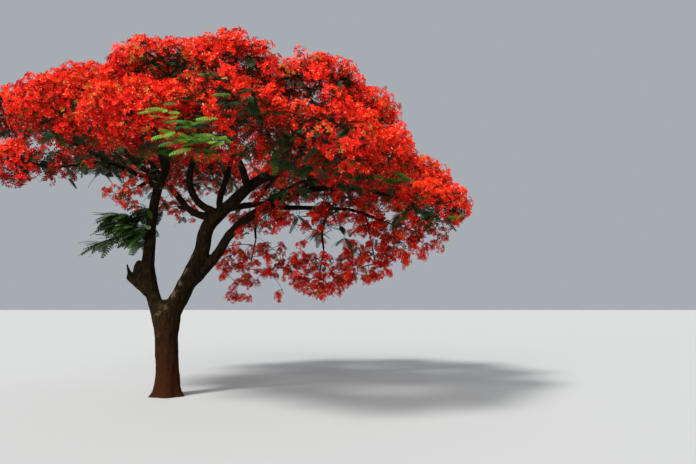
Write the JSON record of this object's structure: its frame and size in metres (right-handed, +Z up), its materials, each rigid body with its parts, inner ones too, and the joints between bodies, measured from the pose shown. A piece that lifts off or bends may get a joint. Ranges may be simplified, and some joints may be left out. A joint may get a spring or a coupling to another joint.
{
  "type": "flame tree",
  "caption": "Flame tree in full bloom: a leaning forked trunk, long arching boughs and a wide, low, open dome of red blossom with feathery leaves.",
  "frame": {"origin": "middle of the flat cut under the trunk, at ground level", "axes": "+Z up; +X to the right and +Y away, seen from the open side that the picture shows"},
  "size_m": [11.7731, 11.4189, 8.3534],
  "materials": {
    "bark": "rough grey-brown bark, reddish at the foot",
    "blossom": "soft, dull red blossom",
    "leaves": "soft, slightly glossy green leaves"
  },
  "bodies": {
    "root": {"trunk": "bark", "left_stem": "bark", "right_stem": "bark", "right_arm": "bark", "lower_arm": "bark", "crossing_bough": "bark", "upright_bough": "bark", "back_upright_bough": "bark", "back_bough": "bark", "left_bough": "bark", "low_left_bough": "bark", "near_left_branch": "bark", "left_near_branch": "bark", "inner_left_branch": "bark", "top_left_branch": "bark", "top_back_left_branch": "bark", "back_left_branch": "bark", "inner_back_branch": "bark", "near_mid_branch": "bark", "near_right_branch": "bark", "top_right_branch": "bark", "right_top_branch": "bark", "right_back_branch": "bark", "back_mid_left_branch": "bark", "top_back_right_branch": "bark", "back_right_branch": "bark", "hang_back_branch": "bark", "hang_mid_branch": "bark", "hang_right_branch": "bark", "broken_bough": "bark", "left_end_foliage": "blossom", "left_drop_foliage": "blossom", "left_near_foliage": "blossom", "left_mid_foliage": "blossom", "near_left_foliage": "blossom", "near_mid_foliage": "blossom", "near_right_foliage": "blossom", "right_near_foliage": "blossom", "right_end_foliage": "blossom", "top_left_foliage": "blossom", "top_near_left_foliage": "blossom", "top_near_foliage": "blossom", "top_right_foliage": "blossom", "right_top_foliage": "blossom", "top_back_foliage": "blossom", "top_back_left_foliage": "blossom", "top_back_right_foliage": "blossom", "back_left_foliage": "blossom", "back_mid_left_foliage": "blossom", "back_mid_foliage": "blossom", "back_right_foliage": "blossom", "right_back_foliage": "blossom", "hang_back_foliage": "blossom", "hang_mid_foliage": "blossom", "hang_right_foliage": "blossom", "right_low_foliage": "blossom", "inner_left_foliage": "blossom", "inner_back_foliage": "blossom", "sprout_leaves": "leaves"}
  },
  "joints": []
}
